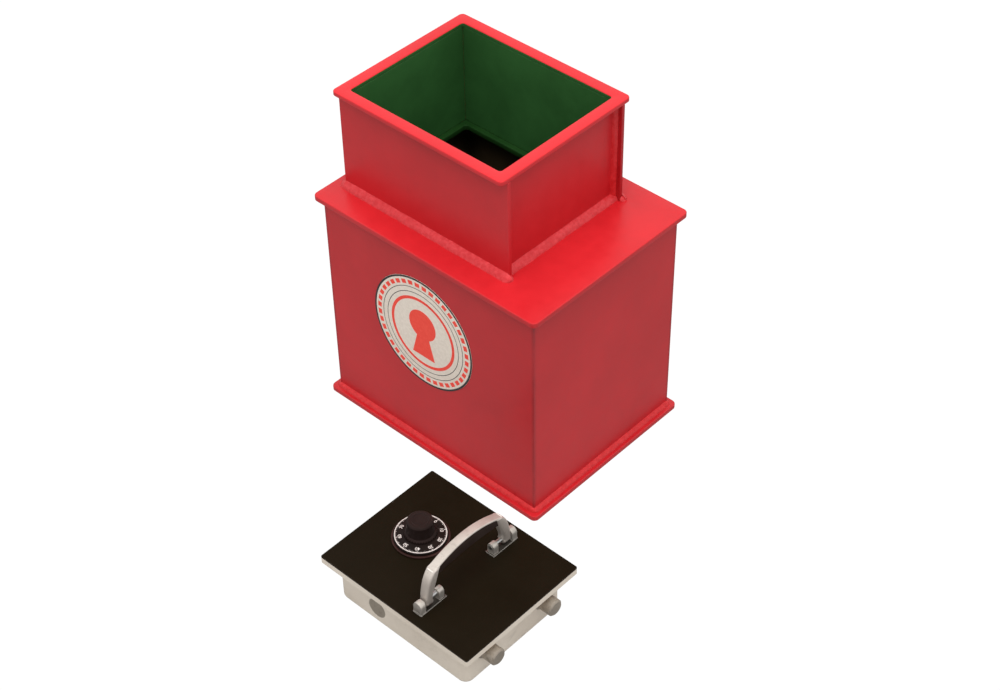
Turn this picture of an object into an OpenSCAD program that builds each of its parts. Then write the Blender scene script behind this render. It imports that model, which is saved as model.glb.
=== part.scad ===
// Underfloor safe: welded steel body with a neck, and a lift-out door with a
// combination lock. Millimetres, +Z up. Origin: centre of the base plate's
// bottom face. The label wall faces -Y, the door's bolts point to +X.

/* [Body] */
// Length of the base and shoulder plates along X
plate_l = 300; // [290:1:320]
// Depth of the base and shoulder plates along Y
plate_w = 230; // [222:1:250]
// Thickness of the base and shoulder plates
plate_t = 6; // [4:0.5:8]
// Height of the shoulder plate's top above the floor
shoulder_h = 268; // [200:1:400]
// Thickness of the four body walls
wall_t = 5; // [3:0.5:6]
// How far the walls stand in from the plates' edges
wall_inset = 8; // [6:0.5:10]
// Corner radius of the base and shoulder plates
plate_corner_r = 6; // [3:0.5:12]

/* [Neck] */
// Clear length of the neck along X
neck_l = 198; // [197:0.5:202]
// Clear depth of the neck along Y
neck_w = 159; // [158:0.5:163]
// Neck centre along X
neck_x = -24; // [-30:1:0]
// Neck centre along Y
neck_y = 2; // [-4:1:4]
// Height of the neck above the shoulder plate, rim included
neck_h = 120; // [90:1:200]
// Thickness of the neck plates
neck_t = 4; // [3:0.5:5]
// Thickness of the rim flange
rim_t = 5; // [4:0.5:6]
// How far the front and back neck plates run past the side plates
neck_lap = 9; // [7:0.5:10]
// Width of the ledge the door sits on
ledge = 6.5; // [5:0.25:7]
// Leg of the weld bead around the neck
neck_bead = 7; // [4:0.5:8]

/* [Label] */
// Diameter of the round label
label_d = 136; // [80:1:150]
// Label centre along X
label_x = -8; // [-20:1:20]
// Label centre above the floor
label_z = 160; // [110:1:170]

/* [Door] */
// Where the door is drawn: on the floor beside the safe, or seated in the neck
door_place = "beside"; // [beside, seated]
// Door centre along X when it lies beside the safe
door_x = 158; // [130:1:170]
// Door centre along Y when it lies beside the safe
door_y = -248; // [-260:1:-225]
// Length of the door plate
door_l = 194; // [192:0.5:194]
// Width of the door plate
door_w = 155; // [153:0.5:155]
// Thickness of the door plate
door_t = 7; // [7:0.5:8]
// Length of the lock case under the plate
case_l = 171; // [170:0.5:172]
// Width of the lock case under the plate
case_w = 135; // [134:0.5:136]
// Diameter of the locking bolts and fixed dogs
bolt_d = 18; // [16:0.5:18]
// Distance of each bolt from the door's centre line
bolt_y = 40; // [38:0.5:42]
// How far a thrown bolt stands out of the case
bolt_out = 17; // [16:0.5:18]

/* [Dial] */
// Dial centre along the door's length
dial_x = -42; // [-42:0:-42]
// Dial centre across the door's width
dial_y = 5; // [5:0:5]
// Diameter of the numbered dial
dial_d = 54; // [46:1:56]
// Diameter of the knob
knob_d = 29; // [24:1:32]
// Height of the knob
knob_h = 19; // [14:1:22]

/* [Handle] */
// Handle position along the door's length
handle_x = 23.5; // [22:0.5:27]
// Half distance between the handle's arms
handle_y = 50; // [48:0.5:52]
// Height of the handle's crown above the door face
handle_h = 56; // [54:1:62]
// Width of the handle's arms along X
arm_w = 10.5; // [9:0.5:12]

/* [Hidden] */

$fn = 64;
eps = 0.01;

// body
wall_l = plate_l - 2 * wall_inset;
wall_w = plate_w - 2 * wall_inset;
wall_top = shoulder_h - plate_t;
safe_top = shoulder_h + neck_h;
rim_z = safe_top - rim_t;
open_l = neck_l - 2 * ledge;
open_w = neck_w - 2 * ledge;
nx0 = neck_x - neck_l / 2;
nx1 = neck_x + neck_l / 2;
ny0 = neck_y - neck_w / 2;
ny1 = neck_y + neck_w / 2;

// door: z = 0 is the case's lowest face
case_h = 50;
case_z0 = 1.5;
case_wall = 3;
top_plate = case_h + door_t;
sheet_t = 1.2;
face_z = top_plate + sheet_t;
bolt_z = 34.5;
bolt_r = bolt_d / 2;
case_in_x = case_l / 2 - case_wall;
case_in_y = case_w / 2 - case_wall;
bar_x0 = 38;
bar_x1 = 48;
spindle_r = 3.8;
post_r = 5.5;
run = 0.05;
pivot_h = 9;
pin_r = 2.5;

door_pos = door_place == "seated" ? [neck_x, neck_y, shoulder_h - case_h] : [door_x, door_y, 0];

// ---------- shared shapes ----------
module rr2(l, w, r) {
    square([l - 2 * r, w], center = true);
    square([l, w - 2 * r], center = true);
    for (sx = [-1, 1], sy = [-1, 1]) translate([sx * (l / 2 - r), sy * (w / 2 - r)]) circle(r);
}

module slab(l, w, r, h) { linear_extrude(h) rr2(l, w, r); }

// box with rounded upright corners (R) and a rounded lower edge (r)
module tray_block(l, w, h, R, r) {
    for (sx = [-1, 1], sy = [-1, 1]) translate([sx * (l / 2 - R), sy * (w / 2 - R), 0])
        rotate_extrude() union() {
            square([R - r, h]);
            translate([0, r]) square([R, h - r]);
            intersection() { translate([R - r, r]) circle(r); square([R, h]); }
        }
    translate([-(l / 2 - R), 0, 0]) rotate([90, 0, 90]) linear_extrude(l - 2 * R) edge2(w, h, r);
    translate([0, w / 2 - R, 0]) rotate([90, 0, 0]) linear_extrude(w - 2 * R) edge2(l, h, r);
}

module edge2(w, h, r) {
    translate([-w / 2, r]) square([w, h - r]);
    translate([-(w / 2 - r), 0]) square([w - 2 * r, h]);
    for (s = [-1, 1]) translate([s * (w / 2 - r), r]) circle(r);
}

// triangular fillet weld along +X, in the corner between a floor (z = 0) and a wall (y = 0)
module bead(len, leg) {
    rotate([90, 0, 90]) linear_extrude(len) polygon([[0, 0], [-leg, 0], [0, leg]]);
}

module cone_corner(leg) { cylinder(r1 = leg, r2 = 0, h = leg); }

// fillet weld around the outside of a rectangle whose foot is at z = 0
module bead_ring(l, w, leg) {
    difference() {
        union() {
            translate([-l / 2, -w / 2, 0]) bead(l, leg);
            rotate([0, 0, 180]) translate([-l / 2, -w / 2, 0]) bead(l, leg);
            rotate([0, 0, 90]) translate([-w / 2, -l / 2, 0]) bead(w, leg);
            rotate([0, 0, -90]) translate([-w / 2, -l / 2, 0]) bead(w, leg);
            for (sx = [-1, 1], sy = [-1, 1]) translate([sx * l / 2, sy * w / 2, 0]) cone_corner(leg);
        }
        translate([-l / 2, -w / 2, -1]) cube([l, w, leg + 2]);
    }
}

module screw(d, head_d, head_h, len) {
    cylinder(d = d, h = len);
    translate([0, 0, -head_h]) difference() {
        cylinder(d = head_d, h = head_h);
        translate([-head_d / 2, -0.5, -eps]) cube([head_d, 1, head_h * 0.4]);
    }
}

module at_door() { translate(door_pos) children(); }
module at_dial(z) { translate([dial_x, dial_y, z]) children(); }

function coil_pts(r, w, len, turns, n, m) = [for (i = [0:n], j = [0:m - 1])
    let (a = 360 * turns * i / n, b = 360 * j / m, x = w + (len - 2 * w) * i / n)
    [x + w * cos(b), (r + w * sin(b)) * cos(a), (r + w * sin(b)) * sin(a)]];

// compression spring along +X
module coil(r, w, len, turns) {
    n = round(turns * 12);
    m = 6;
    polyhedron(coil_pts(r, w, len, turns, n, m),
        concat([for (i = [0:n - 1], j = [0:m - 1]) [i * m + j, (i + 1) * m + j, (i + 1) * m + (j + 1) % m, i * m + (j + 1) % m]],
            [[for (j = [0:m - 1]) j]], [[for (j = [m - 1:-1:0]) n * m + j]]));
}

// ---------- safe body ----------
module base_plate() { color([0.78, 0.16, 0.19]) slab(plate_l, plate_w, plate_corner_r, plate_t); }

module body_front_wall() {
    color([0.72, 0.22, 0.24]) translate([-wall_l / 2, -wall_w / 2, plate_t]) cube([wall_l, wall_t, wall_top - plate_t]);
}
module body_back_wall() {
    color([0.72, 0.22, 0.24]) translate([-wall_l / 2, wall_w / 2 - wall_t, plate_t]) cube([wall_l, wall_t, wall_top - plate_t]);
}
module body_left_wall() {
    color([0.70, 0.20, 0.23]) translate([-wall_l / 2, -wall_w / 2 + wall_t, plate_t]) cube([wall_t, wall_w - 2 * wall_t, wall_top - plate_t]);
}
module body_right_wall() {
    color([0.70, 0.20, 0.23]) translate([wall_l / 2 - wall_t, -wall_w / 2 + wall_t, plate_t]) cube([wall_t, wall_w - 2 * wall_t, wall_top - plate_t]);
}

// shoulder plate with the door opening; its rim of bare plate inside the neck is the ledge
module shoulder_plate() {
    color([0.88, 0.20, 0.22]) translate([0, 0, wall_top]) difference() {
        slab(plate_l, plate_w, plate_corner_r, plate_t);
        translate([neck_x, neck_y, -1]) slab(open_l, open_w, 3, plate_t + 2);
    }
}

module neck_front_plate() {
    color([0.72, 0.23, 0.25]) translate([nx0 - neck_t - neck_lap, ny0 - neck_t, shoulder_h])
        cube([neck_l + 2 * neck_t + 2 * neck_lap, neck_t, rim_z - shoulder_h]);
}
module neck_back_plate() {
    color([0.72, 0.23, 0.25]) translate([nx0 - neck_t - neck_lap, ny1, shoulder_h])
        cube([neck_l + 2 * neck_t + 2 * neck_lap, neck_t, rim_z - shoulder_h]);
}
module neck_left_plate() {
    color([0.77, 0.20, 0.24]) translate([nx0 - neck_t, ny0, shoulder_h]) cube([neck_t, neck_w, rim_z - shoulder_h]);
}
module neck_right_plate() {
    color([0.77, 0.20, 0.24]) translate([nx1, ny0, shoulder_h]) cube([neck_t, neck_w, rim_z - shoulder_h]);
}

module rim_flange() {
    rl = neck_l + 2 * neck_t + 2 * neck_lap;
    rw = neck_w + 2 * neck_t + 2 * neck_lap;
    color([0.98, 0.36, 0.38]) translate([neck_x, neck_y, rim_z]) difference() {
        slab(rl, rw, 5, rim_t);
        translate([0, 0, -1]) slab(neck_l, neck_w, 3, rim_t + 2);
    }
}

module base_weld() { color([0.85, 0.27, 0.29]) translate([0, 0, plate_t]) bead_ring(wall_l, wall_w, 4); }

module shoulder_weld() {
    color([0.85, 0.27, 0.29]) translate([0, 0, wall_top]) mirror([0, 0, 1]) bead_ring(wall_l, wall_w, 4);
}

// bead around the neck's foot; it wraps a little way around the ends of the long plates
module neck_base_weld() {
    hl = neck_l / 2 + neck_t + neck_lap;
    hw = neck_w / 2 + neck_t;
    color([0.90, 0.33, 0.34]) translate([neck_x, neck_y, shoulder_h]) {
        for (a = [0, 1]) mirror([0, a, 0]) {
            translate([-hl, -hw, 0]) bead(2 * hl, neck_bead);
            for (b = [0, 1]) mirror([b, 0, 0]) translate([hl, -hw, 0]) {
                rotate([0, 0, -90]) rotate_extrude(angle = 90) polygon([[0, 0], [neck_bead, 0], [0, neck_bead]]);
                rotate([0, 0, 90]) bead(neck_t, neck_bead);
            }
        }
        for (b = [0, 1]) mirror([b, 0, 0]) translate([neck_l / 2 + neck_t, -neck_w / 2, 0]) rotate([0, 0, 90]) bead(neck_w, neck_bead);
    }
}

// upright beads in the four corners outside the side plates
module neck_corner_welds() {
    lx = neck_l / 2 + neck_t;
    color([0.80, 0.27, 0.29]) translate([neck_x, neck_y, shoulder_h + neck_bead]) linear_extrude(rim_z - shoulder_h - neck_bead)
        for (sx = [-1, 1], sy = [-1, 1]) translate([sx * lx, sy * neck_w / 2])
            polygon([[0, 0], [sx * 4.5, 0], [0, -sy * 4.5]]);
}

module front_label() {
    color([0.87, 0.81, 0.75]) translate([label_x, -wall_w / 2, label_z]) rotate([90, 0, 0]) cylinder(d = label_d, h = 0.4, $fn = 128);
}

// ---------- door shell ----------
module plate_holes(z, h) {
    at_dial(z) cylinder(r = spindle_r + 0.7, h = h);
    for (sy = [-1, 1], y = [screw_out_y, screw_in_y]) translate([handle_x, sy * y, z]) cylinder(d = 3.6, h = h);
}
sink = 2.6;
screw_out_y = handle_y + 13.2;
screw_in_y = handle_y - 12.5;

module door_plate() {
    color([0.76, 0.72, 0.68]) at_door() difference() {
        translate([0, 0, case_h]) slab(door_l, door_w, 2, door_t);
        plate_holes(case_h - 1, door_t + 2);
        for (sy = [-1, 1], y = [screw_out_y, screw_in_y]) translate([handle_x, sy * y, case_h - 1]) cylinder(d = 7, h = sink + 1);
        for (p = lock_screw_xy) translate([p[0], p[1], case_h - 1]) cylinder(d = 4, h = 6);
        for (y = spring_screw_y) translate([2, y, case_h - 1]) cylinder(d = 4, h = 5);
    }
}

module face_sheet() {
    color([0.12, 0.10, 0.09]) at_door() difference() {
        translate([0, 0, top_plate]) slab(door_l, door_w, 2, sheet_t);
        plate_holes(top_plate - 1, sheet_t + 2);
    }
}

cover_xy = [for (x = [-70, 0, 70], y = [-52, 52]) [x, y]];

module door_case() {
    color([0.77, 0.73, 0.69]) at_door() difference() {
        translate([0, 0, case_z0]) tray_block(case_l, case_w, case_h - case_z0, 10, 6);
        translate([0, 0, case_z0 + case_wall]) slab(2 * case_in_x, 2 * case_in_y, 6, case_h);
        translate([0, 0, -1]) slab(132, 96, 6, 10);
        for (p = cover_xy) translate([p[0], p[1], -1]) cylinder(d = 3.5, h = 10);
        for (sy = [-1, 1]) {
            translate([0, sy * bolt_y, bolt_z]) rotate([0, 90, 0]) cylinder(r = bolt_r + 2, h = case_l);
            translate([0, sy * bolt_y, bolt_z]) rotate([0, -90, 0]) cylinder(r = bolt_r, h = case_l);
        }
        translate([-32, 0, 23.5]) rotate([90, 0, 0]) cylinder(r = 11, h = case_w);
    }
}

module case_cover() {
    color([0.74, 0.70, 0.66]) at_door() difference() {
        slab(152, 116, 5, case_z0);
        for (p = cover_xy) translate([p[0], p[1], -1]) cylinder(d = 7, h = 5);
    }
}

// countersunk screws, heads flush with the cover's lower face
module cover_screws() {
    color([0.6, 0.6, 0.6]) at_door() for (p = cover_xy) translate([p[0], p[1], 0]) {
        difference() {
            cylinder(d = 7, h = case_z0);
            translate([-3.5, -0.5, -eps]) cube([7, 1, 0.8]);
        }
        cylinder(d = 3.5, h = 7);
    }
}

module blanking_plug() {
    color([0.52, 0.48, 0.44]) at_door() translate([-32, -case_w / 2, 23.5]) rotate([-90, 0, 0]) {
        cylinder(r = 11, h = case_wall);
        translate([0, 0, case_wall]) cylinder(r = 13, h = 1.5);
    }
}

module fixed_dogs() {
    color([0.52, 0.49, 0.46]) at_door() for (sy = [-1, 1]) translate([-case_l / 2, sy * bolt_y, bolt_z]) rotate([0, -90, 0]) {
        translate([0, 0, -case_wall - 3]) cylinder(r = bolt_r + 3, h = 3);
        translate([0, 0, -case_wall - 1]) cylinder(r = bolt_r, h = case_wall + 15.5);
        translate([0, 0, 14.5]) cylinder(r1 = bolt_r, r2 = bolt_r - 1.5, h = 1.5);
    }
}

module bolt_bushes() {
    color([0.55, 0.50, 0.38]) at_door() for (sy = [-1, 1]) translate([case_in_x, sy * bolt_y, bolt_z]) rotate([0, 90, 0]) difference() {
        union() {
            translate([0, 0, 0]) cylinder(r = bolt_r + 2, h = case_wall);
            translate([0, 0, -4]) cylinder(r = bolt_r + 4.5, h = 4);
        }
        translate([0, 0, -5]) cylinder(r = bolt_r + run, h = 12);
    }
}

// ---------- lock ----------
hx0 = dial_x - 33;
hx1 = dial_x + 37;
hy0 = dial_y - 25;
hy1 = dial_y + 33;
hz0 = 26;
lock_screw_xy = [[hx0 + 7, hy0 + 7], [hx1 - 11, hy0 + 7], [hx0 + 7, hy1 - 7], [hx1 - 11, hy1 - 7]];
cover_screw_xy = [[hx0 + 5.5, hy0 + 5.5], [hx1 - 5.5, hy0 + 5.5], [hx0 + 5.5, hy1 - 5.5], [hx1 - 5.5, hy1 - 5.5]];
spring_screw_y = [-26, 16];
spring_y = [-20, 10];

module lock_housing() {
    color([0.62, 0.62, 0.63]) at_door() difference() {
        union() {
            difference() {
                translate([hx0, hy0, hz0]) cube([hx1 - hx0, hy1 - hy0, case_h - hz0]);
                translate([hx0 + 3, hy0 + 3, hz0 - 1]) cube([hx1 - hx0 - 6, hy1 - hy0 - 6, case_h - hz0 - 2]);
            }
            for (p = cover_screw_xy) translate([p[0] - 2.5, p[1] - 2.5, hz0]) cube([5, 5, 3.5]);
        }
        at_dial(case_h - 5) cylinder(r = post_r, h = 8);
        for (p = lock_screw_xy) translate([p[0], p[1], case_h - 5]) cylinder(d = 4, h = 8);
        for (p = cover_screw_xy) translate([p[0], p[1], hz0 - 1]) cylinder(d = 2.6, h = 5.5);
        translate([hx1 - 4, 27.45, 33.95]) cube([6, 5.6, 8.1]);
    }
}

module lock_cover() {
    color([0.70, 0.70, 0.71]) at_door() difference() {
        translate([hx0, hy0, hz0 - 1.5]) cube([hx1 - hx0, hy1 - hy0, 1.5]);
        for (p = cover_screw_xy) translate([p[0], p[1], hz0 - 3]) cylinder(d = 2.6, h = 5);
    }
}

module lock_cover_screws() {
    color([0.5, 0.5, 0.5]) at_door() for (p = cover_screw_xy) translate([p[0], p[1], hz0 - 1.5]) screw(2.6, 5, 2, 4.5);
}

module lock_screws() {
    color([0.5, 0.5, 0.5]) at_door() for (p = lock_screw_xy) translate([p[0], p[1], case_h - 3]) screw(4, 7, 2.8, 8);
}

module wheel_post() {
    color([0.72, 0.60, 0.32]) at_door() difference() {
        at_dial(34.4) cylinder(r = post_r, h = case_h - 34.4);
        at_dial(30) cylinder(r = spindle_r + run, h = 25);
    }
}

module wheel_spacers() {
    color([0.75, 0.73, 0.70]) at_door() for (s = [[46, 1], [42, 1.5], [38, 1.5]]) at_dial(s[0]) difference() {
        cylinder(r = post_r + 2, h = s[1]);
        translate([0, 0, -1]) cylinder(r = post_r, h = 4);
    }
}

module post_clip() {
    color([0.35, 0.35, 0.36]) at_door() at_dial(34.5) difference() {
        cylinder(r = post_r + 2.2, h = 1);
        translate([0, 0, -1]) cylinder(r = post_r, h = 3);
        translate([0, -1.5, -1]) cube([12, 3, 3]);
    }
}

module lock_wheel(z0, low, up) {
    at_dial(z0) {
        difference() {
            cylinder(r = 20, h = 2.3);
            translate([0, 0, -1]) cylinder(r = post_r + run, h = 5);
            translate([-2.3, 16, -1]) cube([5.6, 6, 5]);
        }
        if (low > 0) rotate([0, 0, 225]) translate([13, 0, -low]) cylinder(r = 1.2, h = low + 0.5);
        if (up > 0) rotate([0, 0, 180]) translate([13, 0, 1.8]) cylinder(r = 1.2, h = up + 0.5);
    }
}
module wheel_1() { color([0.80, 0.66, 0.35]) at_door() lock_wheel(43.6, 1.2, 0); }
module wheel_2() { color([0.80, 0.66, 0.35]) at_door() lock_wheel(39.6, 1.2, 1.2); }
module wheel_3() { color([0.80, 0.66, 0.35]) at_door() lock_wheel(35.6, 1.5, 1.2); }

module drive_cam() {
    color([0.80, 0.66, 0.35]) at_door() at_dial(29.5) {
        difference() {
            cylinder(r = 18, h = 4);
            translate([0, 0, -1]) cylinder(r = spindle_r, h = 6);
            translate([-2.6, 14.5, -1]) cube([7.2, 6, 6]);
        }
        rotate([0, 0, 180]) translate([13, 0, 3.5]) cylinder(r = 1.2, h = 1.7);
    }
}

module spindle() {
    color([0.68, 0.68, 0.70]) at_door() at_dial(28.5) cylinder(r = spindle_r, h = 47.5);
}

// ---------- dial ----------
dial_z = face_z + 2.4;

module dial_ring() {
    color([0.16, 0.11, 0.10]) at_door() difference() {
        at_dial(face_z) cylinder(d = dial_d + 4, h = 2.1, $fn = 128);
        at_dial(face_z - 1) cylinder(r = spindle_r + 0.7, h = 5);
    }
}

module dial_disc() {
    color([0.10, 0.09, 0.09]) at_door() at_dial(dial_z) difference() {
        rotate_extrude($fn = 128) polygon([[spindle_r, 0], [dial_d / 2, 0], [dial_d / 2, 2.2],
            [dial_d / 2 - 0.8, 2.8], [knob_d / 2 + 2.5, 3.6], [spindle_r, 3.6]]);
    }
}

module dial_knob() {
    kr = knob_d / 2;
    color([0.11, 0.10, 0.10]) at_door() at_dial(dial_z + 3.6) difference() {
        union() {
            rotate_extrude($fn = 96) polygon([[0, 0], [kr + 1, 0], [kr + 1, 3], [kr - 0.6, 4], [kr - 1.4, knob_h - 1.6],
                [kr - 3, knob_h], [kr - 6, knob_h], [kr - 6.6, knob_h - 0.8], [0, knob_h - 0.8]]);
            for (i = [0:35]) rotate([0, 0, i * 10]) translate([kr + 0.4, -0.6, 0.4]) cube([1.3, 1.2, 2.2]);
        }
        translate([0, 0, -1]) cylinder(r = spindle_r, h = 76 - dial_z - 2.6);
    }
}

// ---------- bolt work ----------
module bolt_bar() {
    color([0.60, 0.60, 0.61]) at_door() difference() {
        translate([bar_x0, -52, 28]) cube([bar_x1 - bar_x0, 104, 13]);
        for (sy = [-1, 1]) translate([bar_x0 - 1, sy * bolt_y, bolt_z]) rotate([0, 90, 0]) cylinder(r = 3, h = 20);
        translate([bar_x0 - 1, 30.2, 37.5]) rotate([0, 90, 0]) cylinder(r = 2, h = 20);
        translate([bar_x1 - 2.8, 30.2, 37.5]) rotate([0, 90, 0]) cylinder(r = 3, h = 5);
    }
}

module round_bolt(y) {
    tip = case_l / 2 + bolt_out;
    translate([0, y, bolt_z]) rotate([0, 90, 0]) {
        translate([0, 0, bar_x1]) cylinder(r = bolt_r, h = tip - bar_x1 - 1.5);
        translate([0, 0, tip - 1.5]) cylinder(r1 = bolt_r, r2 = bolt_r - 1.5, h = 1.5);
        translate([0, 0, bar_x0 - 6]) cylinder(r = 3, h = bar_x1 - bar_x0 + 7);
    }
}
module front_bolt() { color([0.60, 0.58, 0.55]) at_door() round_bolt(-bolt_y); }
module back_bolt() { color([0.60, 0.58, 0.55]) at_door() round_bolt(bolt_y); }

module bolt_nuts() {
    color([0.66, 0.66, 0.64]) at_door() for (sy = [-1, 1]) translate([bar_x0 - 4.5, sy * bolt_y, bolt_z]) rotate([0, 90, 0]) difference() {
        cylinder(d = 11.5, h = 4.5, $fn = 6);
        translate([0, 0, -1]) cylinder(r = 3, h = 7);
    }
}

module lock_bolt() {
    color([0.82, 0.68, 0.36]) at_door() difference() {
        translate([-24, 27.5, 34]) cube([bar_x0 + 24, 5.5, 8]);
        translate([bar_x0 - 12, 30.2, 37.5]) rotate([0, 90, 0]) cylinder(r = 2, h = 20);
        translate([-18, 30.2, 33]) cylinder(r = 1.75, h = 6);
    }
}

module link_screw() {
    color([0.5, 0.5, 0.5]) at_door() translate([bar_x1 - 2.8, 30.2, 37.5]) rotate([0, -90, 0]) screw(4, 6, 2.8, 17.2);
}

module lever_screw() {
    color([0.5, 0.5, 0.5]) at_door() translate([-18, 30.2, 29.8]) {
        cylinder(r = 1.75, h = 8);
        translate([0, 0, -1.2]) cylinder(r = 3, h = 1.2);
    }
}

// lever with its fence over the wheel gates and its nose over the cam notch
module lock_lever() {
    color([0.74, 0.62, 0.34]) at_door() {
        difference() {
            translate([-50, 27.8, 30]) cube([35.5, 5.2, 3.8]);
            translate([-18, 30.2, 29]) cylinder(r = 1.75 + run, h = 6);
        }
        translate([-43.6, 23.1, 30]) cube([4, 5, 3.4]);
        translate([-43.4, 25.4, 30]) cube([2.8, 3.4, 16]);
    }
}

module lever_spring() {
    color([0.55, 0.55, 0.57]) at_door() {
        translate([-40, 33.2, 30.5]) cube([27.6, 0.6, 2.5]);
        translate([-14.4, 32.4, 30.5]) cube([2, 1.4, 3.5]);
    }
}

module spring_bracket() {
    color([0.66, 0.66, 0.67]) at_door() {
        difference() {
            union() {
                translate([7, -32, 27]) cube([3, 54, 23]);
                translate([-3, -32, 47.5]) cube([12, 54, 2.5]);
            }
            for (y = spring_screw_y) translate([2, y, 46]) cylinder(d = 4, h = 8);
        }
        for (y = spring_y) translate([9, y, bolt_z]) rotate([0, 90, 0]) cylinder(r = 2.6, h = 11);
    }
}

module spring_bracket_screws() {
    color([0.5, 0.5, 0.5]) at_door() for (y = spring_screw_y) translate([2, y, 47.5]) screw(4, 7, 2.8, 6);
}

module bolt_springs() {
    color([0.62, 0.62, 0.64]) at_door() for (y = spring_y) translate([10, y, bolt_z]) coil(3.8, 0.6, bar_x0 - 10, 7);
}

// ---------- handle ----------
lug_out0 = handle_y + 10;
lug_out1 = handle_y + 16.4;
lug_in0 = handle_y - 15.5;
lug_in1 = handle_y - 9;

module lug(y0, y1, r) {
    translate([handle_x - r, y0, face_z + 1]) cube([2 * r, y1 - y0, pivot_h - 1]);
    translate([handle_x, y0, face_z + pivot_h]) rotate([-90, 0, 0]) cylinder(r = r, h = y1 - y0);
}

module bracket() {
    difference() {
        union() {
            translate([handle_x - 5.5, handle_y - 17, face_z]) cube([11, 34, 1.2]);
            lug(lug_out0, lug_out1, 5.2);
            lug(lug_in0, lug_in1, 4.2);
        }
        translate([handle_x, lug_in0 - 1, face_z + pivot_h]) rotate([-90, 0, 0]) cylinder(r = pin_r, h = lug_out0 - lug_in0 + 5);
        for (y = [screw_out_y, screw_in_y]) translate([handle_x, y, face_z - 1]) cylinder(d = 3.6, h = 5.5);
    }
}
module handle_bracket_back() { color([0.72, 0.70, 0.67]) at_door() bracket(); }
module handle_bracket_front() { color([0.72, 0.70, 0.67]) at_door() mirror([0, 1, 0]) bracket(); }

module bracket_screws() {
    color([0.5, 0.5, 0.5]) at_door() for (sy = [-1, 1], y = [screw_out_y, screw_in_y])
        translate([handle_x, sy * y, case_h + sink]) screw(3.6, 7, sink, face_z - case_h - sink + 4.5);
}

module handle_pins() {
    color([0.55, 0.54, 0.52]) at_door() for (a = [0, 1]) mirror([0, a, 0])
        translate([handle_x, lug_in0 - 0.8, face_z + pivot_h]) rotate([-90, 0, 0]) cylinder(r = pin_r, h = lug_out0 + 4 - lug_in0 + 0.8);
}

// outline of the handle seen along X; y across, z up from the pivot
hz = handle_h - pivot_h;
arch = 0.0051; // drop of the crown per mm^2 of distance from the middle
band = 2.2;
grip_t = 13.8;
grip_arch = 0.0018;
arm_out = handle_y + 8.2;
arm_in = handle_y - 0.8;
knee_y = handle_y - 2.4;
grip_y = handle_y - 11.5;

function arch_pts(y0, z0, k, n) = [for (i = [0:n]) let (y = y0 * (1 - 2 * i / n)) [y, z0 - k * y * y]];

outer_leg = [[arm_out, 0], [arm_out - 0.2, 6], [arm_out - 1.4, 15], [arm_out - 3.8, 24.5], [arm_out - 7, hz - 15.8]];
inner_leg = [[arm_in, -10], [arm_in, 6], [arm_in - 3.2, 16], [arm_in - 7.2, 26]];

module handle_outline() {
    difference() {
        polygon(concat(outer_leg, arch_pts(knee_y, hz, arch, 24), [for (i = [4:-1:0]) [-outer_leg[i][0], outer_leg[i][1]]]));
        polygon(concat(inner_leg, arch_pts(grip_y, hz - band, arch, 24), [for (i = [3:-1:0]) [-inner_leg[i][0], inner_leg[i][1]]]));
    }
}

module grip_outline() {
    polygon(concat(arch_pts(grip_y, hz - band, arch, 24),
        [for (i = [24:-1:0]) let (y = (grip_y + 2.2) * (1 - 2 * i / 24)) [y, hz - band - grip_t - grip_arch * y * y]]));
}

module lift_handle() {
    color([0.72, 0.69, 0.65]) at_door() translate([handle_x, 0, face_z + pivot_h]) difference() {
        union() {
            translate([-arm_w / 2, 0, 0]) rotate([90, 0, 90]) linear_extrude(arm_w) handle_outline();
            for (s = [-1, 1]) translate([0, s * (arm_in + arm_out) / 2, 0]) rotate([90, 0, 0]) cylinder(r = arm_w / 2, h = arm_out - arm_in, center = true);
        }
        rotate([90, 0, 0]) cylinder(r = pin_r + run, h = 200, center = true);
    }
}

module handle_grip() {
    color([0.09, 0.08, 0.08]) at_door() translate([handle_x - arm_w / 2 + 0.6, 0, face_z + pivot_h]) rotate([90, 0, 90])
        linear_extrude(arm_w - 1.2) grip_outline();
}

base_plate();
body_front_wall();
body_back_wall();
body_left_wall();
body_right_wall();
shoulder_plate();
neck_front_plate();
neck_back_plate();
neck_left_plate();
neck_right_plate();
rim_flange();
base_weld();
shoulder_weld();
neck_base_weld();
neck_corner_welds();
front_label();
door_plate();
face_sheet();
door_case();
case_cover();
cover_screws();
blanking_plug();
fixed_dogs();
bolt_bushes();
lock_housing();
lock_cover();
lock_cover_screws();
lock_screws();
wheel_post();
wheel_spacers();
post_clip();
dial_ring();
spring_bracket();
spring_bracket_screws();
handle_bracket_front();
handle_bracket_back();
bracket_screws();
handle_pins();
dial_disc();
dial_knob();
spindle();
drive_cam();
wheel_1();
wheel_2();
wheel_3();
bolt_bar();
front_bolt();
back_bolt();
bolt_nuts();
lock_bolt();
link_screw();
lever_screw();
lock_lever();
lever_spring();
bolt_springs();
lift_handle();
handle_grip();
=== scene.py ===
"""Looks of the underfloor safe and its lift-out door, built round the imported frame."""

import math
import random

import bmesh
import bpy
from mathutils import Matrix, Vector, noise


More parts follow.
